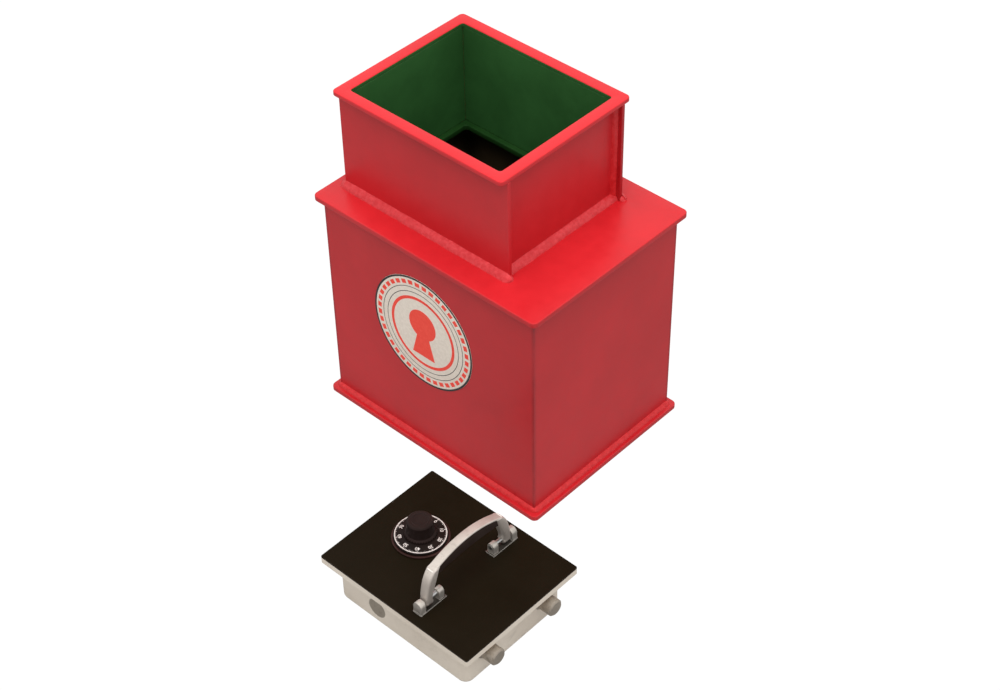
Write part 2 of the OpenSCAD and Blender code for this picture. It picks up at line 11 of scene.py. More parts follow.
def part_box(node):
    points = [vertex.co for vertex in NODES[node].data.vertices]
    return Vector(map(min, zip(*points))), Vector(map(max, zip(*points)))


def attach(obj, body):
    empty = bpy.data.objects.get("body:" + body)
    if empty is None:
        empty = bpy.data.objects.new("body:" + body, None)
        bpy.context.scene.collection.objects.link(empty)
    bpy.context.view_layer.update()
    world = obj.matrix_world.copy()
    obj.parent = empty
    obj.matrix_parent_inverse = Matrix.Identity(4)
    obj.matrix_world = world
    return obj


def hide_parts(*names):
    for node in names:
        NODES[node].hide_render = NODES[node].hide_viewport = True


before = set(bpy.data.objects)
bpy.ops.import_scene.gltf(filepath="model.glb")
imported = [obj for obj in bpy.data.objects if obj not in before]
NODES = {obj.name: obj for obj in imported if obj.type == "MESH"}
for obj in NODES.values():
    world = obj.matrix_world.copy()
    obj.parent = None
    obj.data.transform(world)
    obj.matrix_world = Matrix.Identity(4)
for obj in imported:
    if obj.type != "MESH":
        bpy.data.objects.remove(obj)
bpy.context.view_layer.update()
MM = 0.001
rng = random.Random(7)

# ------------------------------------------------------------------ places, all read from the CAD boxes
base_lo, base_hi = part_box("base_plate")
sh_lo, sh_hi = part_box("shoulder_plate")
rim_lo, rim_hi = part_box("rim_flange")
nf_lo, nf_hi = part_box("neck_front_plate")
nb_lo, nb_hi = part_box("neck_back_plate")
nl_lo, nl_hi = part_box("neck_left_plate")
nr_lo, nr_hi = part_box("neck_right_plate")
NX0, NX1, NY0, NY1 = nl_hi.x, nr_lo.x, nf_hi.y, nb_lo.y  # clear neck
NCX, NCY = (NX0 + NX1) / 2, (NY0 + NY1) / 2
wl_lo, wl_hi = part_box("body_left_wall")
wr_lo, wr_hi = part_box("body_right_wall")
wf_lo, wf_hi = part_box("body_front_wall")
wb_lo, wb_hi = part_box("body_back_wall")
plate_lo, plate_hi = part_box("door_plate")
sheet_lo, sheet_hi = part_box("face_sheet")
DX, DY = (plate_lo.x + plate_hi.x) / 2, (plate_lo.y + plate_hi.y) / 2
disc_lo, disc_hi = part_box("dial_disc")
DIAL = Vector(((disc_lo.x + disc_hi.x) / 2, (disc_lo.y + disc_hi.y) / 2, disc_hi.z))
DIAL_R = (disc_hi.x - disc_lo.x) / 2
pin_lo, pin_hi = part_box("handle_pins")
HX, HZ = (pin_lo.x + pin_hi.x) / 2, (pin_lo.z + pin_hi.z) / 2
hand_lo, hand_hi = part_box("lift_handle")
lab_lo, lab_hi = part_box("front_label")


# ------------------------------------------------------------------ node helpers
class Mat:
    """A small builder for node materials."""

    def __init__(self, name):
        self.m = bpy.data.materials.new(name)
        self.m.use_nodes = True
        self.t = self.m.node_tree
        self.t.nodes.clear()
        self.out = self.t.nodes.new("ShaderNodeOutputMaterial")
        self.b = self.t.nodes.new("ShaderNodeBsdfPrincipled")
        self.t.links.new(self.b.outputs[0], self.out.inputs[0])
        self.tc = self.t.nodes.new("ShaderNodeTexCoord")
        self.co = self.tc.outputs["Object"]

    def link(self, a, b):
        self.t.links.new(a, b)

    def put(self, sock, v):
        if isinstance(v, bpy.types.NodeSocket):
            self.link(v, sock)
        else:
            sock.default_value = v

    def noise(self, scale, detail=3.0, rough=0.5, co=None, dist=0.0):
        n = self.t.nodes.new("ShaderNodeTexNoise")
        n.inputs["Scale"].default_value = scale
        n.inputs["Detail"].default_value = detail
        n.inputs["Roughness"].default_value = rough
        n.inputs["Distortion"].default_value = dist
        self.link(co or self.co, n.inputs["Vector"])
        return n.outputs[0]

    def stretch(self, sx, sy, sz):
        n = self.t.nodes.new("ShaderNodeMapping")
        n.inputs["Scale"].default_value = (sx, sy, sz)
        self.link(self.co, n.inputs["Vector"])
        return n.outputs[0]

    def voronoi(self, scale, feature="F1", co=None):
        n = self.t.nodes.new("ShaderNodeTexVoronoi")
        n.feature = feature
        n.inputs["Scale"].default_value = scale
        self.link(co or self.co, n.inputs["Vector"])
        return n.outputs["Distance"]

    def math(self, op, a, b=0.0, c=0.0, clamp=False):
        n = self.t.nodes.new("ShaderNodeMath")
        n.operation = op
        n.use_clamp = clamp
        self.put(n.inputs[0], a)
        self.put(n.inputs[1], b)
        if op in ("MULTIPLY_ADD", "COMPARE"):
            self.put(n.inputs[2], c)
        return n.outputs[0]

    def ramp(self, v, a, b, lo=0.0, hi=1.0):
        n = self.t.nodes.new("ShaderNodeMapRange")
        n.interpolation_type = "SMOOTHSTEP"
        self.put(n.inputs["Value"], v)
        n.inputs["From Min"].default_value = a
        n.inputs["From Max"].default_value = b
        n.inputs["To Min"].default_value = lo
        n.inputs["To Max"].default_value = hi
        return n.outputs[0]

    def mix(self, f, a, b):
        n = self.t.nodes.new("ShaderNodeMix")
        n.data_type = "RGBA"
        self.put(n.inputs["Factor"], f)
        for s, v in ((n.inputs[6], a), (n.inputs[7], b)):
            self.put(s, v if isinstance(v, bpy.types.NodeSocket) else (*v, 1.0))
        return n.outputs[2]

    def mixf(self, f, a, b):
        n = self.t.nodes.new("ShaderNodeMix")
        n.data_type = "FLOAT"
        self.put(n.inputs["Factor"], f)
        self.put(n.inputs[2], a)
        self.put(n.inputs[3], b)
        return n.outputs[0]

    def xyz(self):
        n = self.t.nodes.new("ShaderNodeSeparateXYZ")
        self.link(self.co, n.inputs[0])
        return n.outputs

    def edges(self, radius=0.0015, a=0.985, b=0.9):
        """1 on sharp edges, 0 on flats, from the rounded normal."""
        bv = self.t.nodes.new("ShaderNodeBevel")
        bv.samples = 6
        bv.inputs["Radius"].default_value = radius
        g = self.t.nodes.new("ShaderNodeNewGeometry")
        d = self.t.nodes.new("ShaderNodeVectorMath")
        d.operation = "DOT_PRODUCT"
        self.link(bv.outputs[0], d.inputs[0])
        self.link(g.outputs["Normal"], d.inputs[1])
        return self.ramp(d.outputs["Value"], a, b)

    def bump(self, height, strength, distance, normal=None):
        n = self.t.nodes.new("ShaderNodeBump")
        n.inputs["Strength"].default_value = strength
        n.inputs["Distance"].default_value = distance
        self.put(n.inputs["Height"], height)
        if normal is not None:
            self.link(normal, n.inputs["Normal"])
        return n.outputs[0]

    def set(self, **kw):
        names = dict(color="Base Color", rough="Roughness", metal="Metallic", normal="Normal", coat="Coat Weight",
                     coat_rough="Coat Roughness", spec="Specular IOR Level", aniso="Anisotropic", sheen="Sheen Weight",
                     emit="Emission Strength")
        for k, v in kw.items():
            s = self.b.inputs[names[k]]
            if isinstance(v, tuple) and len(v) == 3:
                v = (*v, 1.0)
            self.put(s, v)
        return self.m


def between(m, v, lo, hi):
    return m.math("MULTIPLY", m.math("GREATER_THAN", v, lo), m.math("LESS_THAN", v, hi))


def red_paint(name, interior=False, painted_light_scale=1.0, texture=1.0, seams=False):
    """Powder-coated red outside; green inside the neck, darkened at its foot as painted shade, and near-black painted
    shade inside the body.
    """
    m = Mat(name)
    spec = 0.5
    broad = m.noise(7.0, 4.0, 0.6)
    fine = m.noise(60.0, 4.0, 0.6)
    # The scale on these colours makes lighter and darker copies of this paint: painted light and painted shade.
    a, b = (0.52 * painted_light_scale, 0.0120 * painted_light_scale, 0.0170 * painted_light_scale), (0.59 * painted_light_scale, 0.0150 * painted_light_scale, 0.0210 * painted_light_scale)
    col = m.mix(m.ramp(m.math("ADD", m.math("MULTIPLY", broad, 0.7), m.math("MULTIPLY", fine, 0.3)), 0.35, 0.65), a, b)
    if not seams:
        edge = m.edges(0.0012)
        worn = m.math("MULTIPLY", edge, m.ramp(m.noise(90.0, 5.0, 0.65), 0.45, 0.75), clamp=True)
        # Painted highlight: edges are lightened toward a brighter red; the worn spots on the next line are real wear.
        col = m.mix(m.math("MULTIPLY", edge, 0.25), col, (0.74 * painted_light_scale, 0.060, 0.068))
        col = m.mix(m.math("MULTIPLY", worn, 0.25), col, (0.25, 0.012, 0.016))
    rough = m.mixf(m.ramp(fine, 0.3, 0.7), 0.31, 0.39)
    peel = m.noise(520.0, 2.0, 0.5)
    grain = m.noise(1900.0, 2.0, 0.5)
    h = m.math("ADD", m.math("MULTIPLY", peel, 0.75), m.math("MULTIPLY", grain, 0.25))
    if interior:
        x, y, z = m.xyz()
        g = m.math("MULTIPLY", between(m, x, NX0 - 0.0003, NX1 + 0.0003), between(m, y, NY0 - 0.0003, NY1 + 0.0003))
        g = m.math("MULTIPLY", g, m.math("LESS_THAN", z, rim_hi.z - 0.0009))
        g = m.math("MULTIPLY", g, m.math("GREATER_THAN", z, sh_lo.z + 0.0004))
        patch = m.ramp(m.noise(11.0, 5.0, 0.65), 0.35, 0.7)
        green = m.mix(patch, (0.026, 0.098, 0.024), (0.036, 0.130, 0.033))
        # Painted shade: the neck's green is darkened at its foot, on the ledge and round the opening's edge.
        green = m.mix(m.math("LESS_THAN", z, sh_hi.z + 0.0006), green, m.mix(patch, (0.007, 0.032, 0.006), (0.012, 0.046, 0.009)))
        col = m.mix(g, col, green)
        # Painted shade: the inside of the body is a near-black brown, standing in for the dark there.
        d = m.math("MULTIPLY", between(m, x, wl_hi.x - 0.0004, wr_lo.x + 0.0004), between(m, y, wf_hi.y - 0.0004, wb_lo.y + 0.0004))
        d = m.math("MULTIPLY", d, between(m, z, base_hi.z - 0.0004, sh_lo.z + 0.0004))
        dark = m.mix(m.ramp(m.noise(20.0, 4.0), 0.3, 0.7), (0.045, 0.028, 0.014), (0.070, 0.046, 0.024))
        col = m.mix(d, col, dark)
        dull = m.math("MAXIMUM", g, d)
        rough = m.mixf(dull, rough, 0.55)
        spec = m.mixf(dull, 0.5, 0.22)
    # the body's ground corner seams: a soft dark line up each corner
    x, y, z = m.xyz()
    if seams:
        ax = m.math("ABSOLUTE", m.math("SUBTRACT", m.math("ABSOLUTE", x), wr_hi.x))
        ay = m.math("ABSOLUTE", m.math("SUBTRACT", m.math("ABSOLUTE", y), wb_hi.y))
        near = m.math("MAXIMUM", ax, ay)
        seam = m.math("MULTIPLY", m.ramp(near, 0.0002, 0.0045, 1.0, 0.0), m.ramp(m.noise(45.0, 4.0), 0.25, 0.75, 0.35, 0.65))
        col = m.mix(seam, col, (0.27 * painted_light_scale, 0.010, 0.014))
    return m.set(color=col, rough=rough, normal=m.bump(h, 0.16 * texture, 0.00035), spec=spec)


def weld_paint(name, light=1.0, rough_bump=0.3):
    m = Mat(name)
    n = m.noise(240.0, 5.0, 0.6)
    pits = m.voronoi(420.0)
    # Partly the bead's own uneven tone, partly painted highlight: the lighter, pinker end stands in for the sheen on
    # the sloping bead; the second argument scales its pinkness.
    col = m.mix(m.ramp(n, 0.3, 0.75), (0.54, 0.016 * light, 0.022 * light), (0.66, 0.050 * light, 0.058 * light))
    h = m.math("ADD", m.math("MULTIPLY", n, 0.7), m.math("MULTIPLY", pits, 0.4))
    return m.set(color=col, rough=m.ramp(n, 0.3, 0.7, 0.34, 0.46), normal=m.bump(h, rough_bump, 0.0006))


def cream_enamel(name):
    m = Mat(name)
    broad = m.noise(9.0, 5.0, 0.6)
    fine = m.noise(75.0, 4.0, 0.6)
    col = m.mix(m.ramp(broad, 0.35, 0.68), (0.65, 0.565, 0.465), (0.76, 0.675, 0.570))
    smudge = m.ramp(m.noise(26.0, 6.0, 0.7, dist=0.6), 0.56, 0.74)
    col = m.mix(m.math("MULTIPLY", smudge, 0.35), col, (0.36, 0.315, 0.26))
    edge = m.edges(0.0014)
    chip = m.math("MULTIPLY", edge, m.ramp(m.noise(150.0, 5.0, 0.7), 0.52, 0.66), clamp=True)
    col = m.mix(m.math("MULTIPLY", chip, 0.7), col, (0.24, 0.215, 0.19))
    rough = m.mixf(smudge, 0.40, 0.55)
    h = m.math("ADD", m.noise(420.0, 2.0), m.math("MULTIPLY", fine, 0.6))
    return m.set(color=col, rough=rough, normal=m.bump(h, 0.16, 0.0004))


def black_sheet(name):
    """Black embossed sheet: a fine pebble grain with a soft sheen."""
    m = Mat(name)
    cells = m.voronoi(900.0, "SMOOTH_F1")
    grain = m.noise(2600.0, 3.0, 0.6)
    broad = m.noise(8.0, 5.0, 0.65)
    col = m.mix(m.ramp(broad, 0.3, 0.72), (0.0070, 0.0044, 0.0016), (0.0100, 0.0066, 0.0030))
    scuff = m.math("MULTIPLY", m.ramp(m.noise(30.0, 7.0, 0.75, co=m.stretch(1.0, 6.0, 1.0)), 0.62, 0.76), 0.2)
    col = m.mix(scuff, col, (0.026, 0.021, 0.016))
    edge = m.edges(0.0009)
    col = m.mix(m.math("MULTIPLY", edge, 0.5), col, (0.06, 0.05, 0.043))
    h = m.math("ADD", m.math("MULTIPLY", cells, 0.8), m.math("MULTIPLY", grain, 0.3))
    return m.set(color=col, rough=m.ramp(broad, 0.3, 0.7, 0.42, 0.54), normal=m.bump(h, 0.30, 0.00025), spec=0.068)


def metal(name, a, b, rough=(0.28, 0.42), grain=(1.0, 1.0, 1.0), gscale=900.0, strength=0.12, edge_col=None, cast=False, stain=None, metallic=1.0):
    m = Mat(name)
    broad = m.noise(30.0, 5.0, 0.6)
    brush = m.noise(gscale, 3.0, 0.6, co=m.stretch(*grain))
    col = m.mix(m.ramp(broad, 0.35, 0.68), a, b)
    if stain:
        col = m.mix(m.math("MULTIPLY", m.ramp(m.noise(120.0, 6.0, 0.7), 0.52, 0.72), 0.6), col, stain)
    edge = m.edges(0.0009)
    if edge_col:
        col = m.mix(m.math("MULTIPLY", edge, 0.6), col, edge_col)
    h = brush if not cast else m.math("ADD", m.math("MULTIPLY", m.noise(700.0, 3.0, 0.6), 0.8), m.math("MULTIPLY", m.noise(180.0, 4.0), 0.6))
    r = m.mixf(m.ramp(m.math("ADD", m.math("MULTIPLY", broad, 0.5), m.math("MULTIPLY", brush, 0.5)), 0.3, 0.7), rough[0], rough[1])
    return m.set(color=col, metal=metallic, rough=r, normal=m.bump(h, strength, 0.0003))


def bracket_metal(name, z0):
    """Satin lugs on a dark polished foot plate with bright cut edges."""
    m = Mat(name)
    z = m.xyz()[2]
    g = m.t.nodes.new("ShaderNodeNewGeometry")
    sp = m.t.nodes.new("ShaderNodeSeparateXYZ")
    m.link(g.outputs["True Normal"], sp.inputs[0])
    rim = m.math("MAXIMUM", m.math("LESS_THAN", m.math("ABSOLUTE", sp.outputs[2]), 0.92), m.edges(0.0004))
    foot = m.math("LESS_THAN", z, z0 + 0.00125)
    broad = m.noise(60.0, 5.0, 0.6)
    lug = m.mix(m.ramp(broad, 0.35, 0.68), (0.50, 0.455, 0.405), (0.64, 0.59, 0.53))
    plate = m.mix(m.ramp(broad, 0.35, 0.68), (0.050, 0.043, 0.036), (0.085, 0.074, 0.062))
    col = m.mix(foot, lug, m.mix(rim, plate, (0.86, 0.80, 0.73)))
    rough = m.mixf(foot, m.ramp(broad, 0.3, 0.7, 0.30, 0.42), 0.22)
    h = m.math("ADD", m.noise(800.0, 3.0, 0.6), m.math("MULTIPLY", m.noise(180.0, 4.0), 0.6))
    return m.set(color=col, metal=0.5, rough=rough, normal=m.bump(h, 0.12, 0.0003))


def plastic(name, a, b, rough=(0.3, 0.45), grain=1500.0, strength=0.12, spec=0.5):
    m = Mat(name)
    broad = m.noise(40.0, 4.0)
    edge = m.edges(0.0006)
    col = m.mix(m.ramp(broad, 0.3, 0.7), a, b)
    col = m.mix(m.math("MULTIPLY", edge, 0.45), col, tuple(min(1.0, 2.4 * c + 0.01) for c in b))
    return m.set(color=col, rough=m.ramp(broad, 0.3, 0.7, rough[0], rough[1]), normal=m.bump(m.noise(grain, 3.0), strength, 0.0002), spec=spec)


def print_ink(name, a, b, rough=0.42):
    m = Mat(name)
    n = m.noise(350.0, 4.0, 0.65)
    col = m.mix(m.ramp(n, 0.35, 0.7), a, b)
    return m.set(color=col, rough=m.ramp(m.noise(60.0, 3.0), 0.3, 0.7, rough - 0.06, rough + 0.06), normal=m.bump(m.noise(900.0, 2.0), 0.06, 0.0002))


RED = red_paint("red_paint", interior=True)
RED_WALL = red_paint("red_paint_walls", interior=True, seams=True)
# A darker copy (0.74) for the neck back plate: painted shade on its end that juts out in the neck's shadow.
RED_PAINTED_SHADE_BACK = red_paint("red_paint_back_painted_shade", interior=True, painted_light_scale=0.74)
# A lighter copy (1.08) for the rim flange: painted light on the top-facing rim.
RED_PAINTED_LIGHT_RIM = red_paint("red_paint_rim_painted_light", interior=True, painted_light_scale=1.08, texture=0.8)
# The neck weld takes the full pinker tone, which is partly painted highlight.
WELD = weld_paint("red_weld")
WELD_PLAIN = weld_paint("red_weld_ground", 0.6, 0.18)
CREAM = cream_enamel("cream_enamel")
FACE = black_sheet("black_sheet")
STEEL = metal("dull_steel", (0.30, 0.255, 0.205), (0.42, 0.365, 0.30), (0.34, 0.50), (1.0, 14.0, 14.0), 260.0, 0.18, (0.66, 0.56, 0.45), stain=(0.17, 0.13, 0.095), metallic=0.5)
PLUG = metal("plug_steel", (0.31, 0.262, 0.205), (0.39, 0.335, 0.270), (0.46, 0.60), (1, 1, 1), 600.0, 0.2, (0.5, 0.45, 0.40), stain=(0.17, 0.14, 0.11), metallic=0.3)
ZINC = metal("zinc_plate", (0.52, 0.52, 0.51), (0.64, 0.64, 0.62), (0.24, 0.38), (1, 1, 1), 900.0, 0.08, (0.8, 0.8, 0.78))
BRASS = metal("brass", (0.60, 0.43, 0.17), (0.72, 0.54, 0.25), (0.22, 0.36), (1.0, 8.0, 8.0), 400.0, 0.1, (0.85, 0.68, 0.38))
ALLOY = metal("die_cast_alloy", (0.44, 0.44, 0.45), (0.55, 0.55, 0.56), (0.40, 0.55), (1, 1, 1), 700.0, 0.16, (0.7, 0.7, 0.7), cast=True)
SPRING = metal("spring_steel", (0.25, 0.25, 0.27), (0.36, 0.36, 0.38), (0.22, 0.34))
SATIN = metal("satin_casting", (0.52, 0.455, 0.40), (0.70, 0.63, 0.565), (0.36, 0.48), (1, 1, 1), 800.0, 0.14, (0.86, 0.82, 0.76), cast=True, stain=(0.40, 0.345, 0.30), metallic=0.5)
LIP = metal("polished_lip", (0.80, 0.75, 0.69), (0.92, 0.88, 0.82), (0.22, 0.32), (1, 1, 1), 800.0, 0.06, metallic=0.3)
BLACK = plastic("dial_black", (0.0105, 0.0068, 0.0058), (0.0155, 0.0105, 0.0090), (0.30, 0.42), spec=0.12)
KNOB = plastic("knob_black", (0.0150, 0.0085, 0.0075), (0.0215, 0.0125, 0.0110), (0.36, 0.5), 900.0, 0.18, spec=0.10)
RING = plastic("ring_brown_black", (0.030, 0.0125, 0.0105), (0.044, 0.019, 0.016), (0.32, 0.45), spec=0.16)
GRIP = plastic("grip_black", (0.0250, 0.0150, 0.0120), (0.0340, 0.0215, 0.0175), (0.48, 0.62), 1100.0, 0.3, spec=0.12)
WHITE_INK = print_ink("dial_white", (0.62, 0.54, 0.50), (0.80, 0.72, 0.68))
LABEL = print_ink("label_cream", (0.80, 0.705, 0.60), (0.88, 0.785, 0.68), 0.36)
LABEL_RED = print_ink("label_red", (0.96, 0.050, 0.026), (1.0, 0.075, 0.040), 0.36)
LABEL_BLACK = print_ink("label_black", (0.020, 0.018, 0.017), (0.040, 0.036, 0.033), 0.36)


# ------------------------------------------------------------------ mesh helpers
def new_obj(name, mesh, mat, body, smooth=35.0):
    o = bpy.data.objects.new(name, mesh)
    bpy.context.scene.collection.objects.link(o)
    mesh.materials.clear()
    mesh.materials.append(mat)
    if smooth:
        mesh.polygons.foreach_set("use_smooth", [True] * len(mesh.polygons))
        mesh.set_sharp_from_angle(angle=math.radians(smooth))
    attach(o, body)
    return o


def mesh_from(name, verts, faces):
    me = bpy.data.meshes.new(name)
    me.from_pydata([tuple(v) for v in verts], [], faces)
    me.update()
    bm = bmesh.new()
    bm.from_mesh(me)
    bmesh.ops.remove_doubles(bm, verts=bm.verts, dist=1e-7)
    bmesh.ops.recalc_face_normals(bm, faces=bm.faces)
    bm.to_mesh(me)
    bm.free()
    return me


def rr_loop(cx, cy, l, w, r, n=10):
    """Rounded rectangle, counter-clockwise, 4 * (n + 1) points."""
    r = max(r, 1e-5)
    pts = []
    for k, (sx, sy) in enumerate(((1, 1), (-1, 1), (-1, -1), (1, -1))):
        ox, oy = cx + sx * (l / 2 - r), cy + sy * (w / 2 - r)
        for i in range(n + 1):
            a = math.radians(90 * k + 90 * i / n)
            pts.append((ox + r * math.cos(a), oy + r * math.sin(a)))
    return pts


def edge_profile(z0, z1, r0, r1, n=5):
    """(inset, z) up an outer side with rounded lower (r0) and upper (r1) edges."""
    out = []
    for i in range(n + 1):
        a = math.radians(90 * i / n)
        out.append((r0 * (1 - math.sin(a)), z0 + r0 * (1 - math.cos(a))))
    for i in range(n + 1):
        a = math.radians(90 * i / n)
        out.append((r1 * (1 - math.cos(a)), z1 - r1 * (1 - math.sin(a))))
    return out


def plate_mesh(name, outer, z0, z1, r0, r1, hole=None, hole_r=(0.0004, 0.0006)):
    """Plate with rounded edges. outer and hole are (cx, cy, l, w, corner radius)."""
    cx, cy, l, w, r = outer
    loops = [[(x, y, z) for x, y in rr_loop(cx, cy, l - 2 * i, w - 2 * i, r - i)] for i, z in edge_profile(z0, z1, r0, r1)]
    if hole:
        hx, hy, hl, hw, hr = hole
        loops += [[(x, y, z) for x, y in rr_loop(hx, hy, hl + 2 * i, hw + 2 * i, hr + i)] for i, z in reversed(edge_profile(z0, z1, hole_r[0], hole_r[1], 4))]
    n = len(loops[0])
    verts = [p for lp in loops for p in lp]
    faces = []
    k = len(loops)
    for a in range(k if hole else k - 1):
        b = (a + 1) % k
        for i in range(n):
            j = (i + 1) % n
            faces.append((a * n + i, a * n + j, b * n + j, b * n + i))
    if not hole:
        faces.append(tuple(range(n))[::-1])
        faces.append(tuple((k - 1) * n + i for i in range(n)))
    return mesh_from(name, verts, faces)


def cad_finish(node, mat, bevel=None, seg=3, angle=35.0):
    """Keeps a CAD node, with its material and a small machined edge."""
    o = NODES[node]
    o.data.materials.clear()
    o.data.materials.append(mat)
    o.data.polygons.foreach_set("material_index", [0] * len(o.data.polygons))
    if bevel:
        wd = o.modifiers.new("weld", "WELD")
        wd.merge_threshold = 1e-6
        bv = o.modifiers.new("edge", "BEVEL")
        bv.width = bevel
        bv.segments = seg
        bv.limit_method = "ANGLE"
        bv.angle_limit = math.radians(angle)
        bv.harden_normals = False
        bv.use_clamp_overlap = True
    return o


def weld_bead(name, p0, p1, out, up, leg, seed, mat=None, body="safe", bulge=0.16, step=0.0011, taper=True):
    """A fillet weld from p0 to p1, in the corner between a wall (outward direction out) and a floor (up direction up)."""
    p0, p1, out, up = Vector(p0), Vector(p1), Vector(out), Vector(up)
    d = p1 - p0
    n = max(8, int(d.length / step))
    m = 9
    r = random.Random(seed)
    ripple_len = 0.0031
    phase = r.random() * 6.28
    verts, faces = [], []
    for i in range(n + 1):
        t = i / n
        s = t * d.length
        base = p0 + d * t
        size = leg * (1 + 0.07 * noise.noise(Vector((s * 55, seed, 0))) + 0.05 * noise.noise(Vector((s * 260, seed, 5))))
        if taper:
            size *= min(1.0, 0.35 + 0.65 * math.sqrt(min(1.0, min(s, d.length - s) / (0.9 * leg) + 0.02)))
        ph = 2 * math.pi * s / ripple_len + 2.2 * noise.noise(Vector((s * 90, seed, 9))) + phase
        for j in range(m + 1):
            u = j / m  # 0 on the wall, 1 on the floor
            lean = ph - 1.9 * (1 - (2 * u - 1) ** 2)  # curved ripples
            rip = 0.016 * (abs(math.sin(lean / 2)) ** 0.7 - 0.6)
            grit = 0.026 * noise.noise(Vector((s * 420, u * 4, seed)))
            b = (bulge * math.sin(math.pi * u) + (rip + grit) * math.sin(math.pi * u) ** 0.5) * size
            q = out * (u * size) + up * ((1 - u) * size)
            q += (out + up).normalized() * b
            verts.append(base + q)
        verts.append(base)
    w = m + 2
    for i in range(n):
        for j in range(w):
            k = (j + 1) % w
            faces.append((i * w + j, i * w + k, (i + 1) * w + k, (i + 1) * w + j))
    faces.append(tuple(range(w))[::-1])
    faces.append(tuple(n * w + j for j in range(w)))
    return mesh_from(name, verts, faces)


def join_meshes(name, meshes):
    bm = bmesh.new()
    for me in meshes:
        bm.from_mesh(me)
    out = bpy.data.meshes.new(name)
    bm.to_mesh(out)
    bm.free()
    for me in meshes:
        bpy.data.meshes.remove(me)
    return out


# ------------------------------------------------------------------ safe body
def rect(lo, hi, r):
    return ((lo.x + hi.x) / 2, (lo.y + hi.y) / 2, hi.x - lo.x, hi.y - lo.y, r)


o = new_obj("base_plate_rounded", plate_mesh("base_plate_rounded", rect(base_lo, base_hi, 0.006), base_lo.z, base_hi.z, 0.0008, 0.0012), RED, "safe")
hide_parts("base_plate")
ledge_x, ledge_y = (NX1 - NX0) / 2 - 0.0065, (NY1 - NY0) / 2 - 0.0065
o = new_obj("shoulder_plate_rounded", plate_mesh("shoulder_plate_rounded", rect(sh_lo, sh_hi, 0.006), sh_lo.z, sh_hi.z, 0.0008, 0.0011,
            hole=(NCX, NCY, 2 * ledge_x, 2 * ledge_y, 0.003), hole_r=(0.0005, 0.0012)), RED, "safe")
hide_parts("shoulder_plate")
# The rim takes the lighter copy of the paint: painted light.
o = new_obj("rim_flange_rounded", plate_mesh("rim_flange_rounded", rect(rim_lo, rim_hi, 0.005), rim_lo.z, rim_hi.z, 0.0008, 0.0011,
            hole=(NCX, NCY, NX1 - NX0, NY1 - NY0, 0.003), hole_r=(0.0004, 0.0012)), RED_PAINTED_LIGHT_RIM, "safe")
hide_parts("rim_flange")
for n in ("body_front_wall", "body_back_wall", "body_left_wall", "body_right_wall"):
    cad_finish(n, RED_WALL)
for n in ("neck_front_plate", "neck_back_plate", "neck_left_plate", "neck_right_plate"):
    # The back plate takes the darker copy of the paint: painted shade.
    cad_finish(n, RED_PAINTED_SHADE_BACK if n == "neck_back_plate" else RED, 0.0006)


def ring_beads(name, x0, x1, y0, y1, z, up, leg, seed, replaces):
    e = leg * 0.55
    ms = [weld_bead("w", (x0 - e, y0, z), (x1 + e, y0, z), (0, -1, 0), up, leg, seed),
          weld_bead("w", (x1, y0 - e, z), (x1, y1 + e, z), (1, 0, 0), up, leg, seed + 1),
          weld_bead("w", (x1 + e, y1, z), (x0 - e, y1, z), (0, 1, 0), up, leg, seed + 2),
          weld_bead("w", (x0, y1 + e, z), (x0, y0 - e, z), (-1, 0, 0), up, leg, seed + 3)]
    ob = new_obj(name, join_meshes(name, ms), WELD_PLAIN, "safe", 60)
    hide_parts(replaces)
    return ob


ring_beads("base_weld_bead", wl_lo.x, wr_hi.x, wf_lo.y, wb_hi.y, base_hi.z, (0, 0, 1), 0.0042, 11, "base_weld")
ring_beads("shoulder_weld_bead", wl_lo.x, wr_hi.x, wf_lo.y, wb_hi.y, sh_lo.z, (0, 0, -1), 0.0040, 21, "shoulder_weld")

LEG = 0.0066
zt = sh_hi.z
ms = []
for sy, y, seed in ((-1, nf_lo.y, 31), (1, nb_hi.y, 35)):
    ms.append(weld_bead("w", (nf_lo.x - 0.004, y, zt), (nf_hi.x + 0.004, y, zt), (0, sy, 0), (0, 0, 1), LEG, seed))
for sx, x, seed in ((-1, nl_lo.x, 41), (1, nr_hi.x, 45)):
    ms.append(weld_bead("w", (x, NY0 - 0.0005, zt), (x, NY1 + 0.0005, zt), (sx, 0, 0), (0, 0, 1), LEG, seed, taper=False))
    for y0, y1, s2 in ((nf_lo.y - 0.003, nf_hi.y, 1), (nb_lo.y, nb_hi.y + 0.003, 2)):
        xe = nf_hi.x if sx > 0 else nf_lo.x
        ms.append(weld_bead("w", (xe, y0, zt), (xe, y1, zt), (sx, 0, 0), (0, 0, 1), LEG * 0.72, seed + s2))
o = new_obj("neck_base_weld_bead", join_meshes("neck_base_weld_bead", ms), WELD, "safe", 60)
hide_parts("neck_base_weld")
ms = []
for sx, x in ((-1, nl_lo.x), (1, nr_hi.x)):
    for sy, y in ((1, nf_hi.y), (-1, nb_lo.y)):
        ms.append(weld_bead("w", (x, y, zt + LEG * 0.6), (x, y, rim_lo.z), (sx, 0, 0), (0, sy, 0), 0.0042, 50 + len(ms), taper=False))
o = new_obj("neck_corner_weld_beads", join_meshes("neck_corner_weld_beads", ms), WELD_PLAIN, "safe", 60)
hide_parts("neck_corner_welds")


# ------------------------------------------------------------------ label: a generic keyhole in a ring of dashes
LCX, LCZ, LR = (lab_lo.x + lab_hi.x) / 2, (lab_lo.z + lab_hi.z) / 2, (lab_hi.x - lab_lo.x) / 2
LY = wf_lo.y


